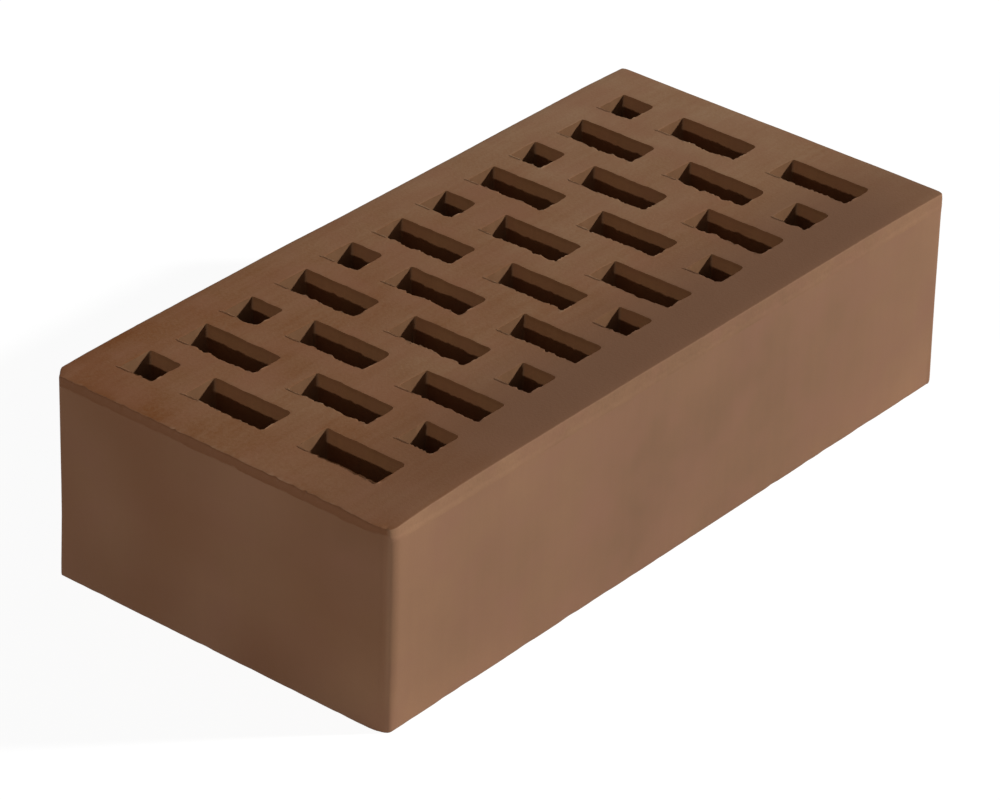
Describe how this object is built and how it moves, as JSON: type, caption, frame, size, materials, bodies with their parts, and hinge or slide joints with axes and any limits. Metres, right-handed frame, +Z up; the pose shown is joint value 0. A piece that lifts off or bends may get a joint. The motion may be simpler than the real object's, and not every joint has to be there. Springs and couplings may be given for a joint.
{
  "type": "clay brick",
  "caption": "Perforated facing brick of brown fired clay with staggered slots through its bed faces, rounded upright corners and chamfered upper edges, for laying in mortar.",
  "frame": {"origin": "middle of the lower bed face, on the floor the brick lies on", "axes": "+X along the brick's length, +Y across its width, +Z up, from the lower bed face to the chamfered upper one"},
  "size_m": [0.25, 0.12, 0.065],
  "materials": {
    "fired_clay": "matte"
  },
  "bodies": {
    "root": {"brick": "fired_clay"}
  },
  "joints": []
}
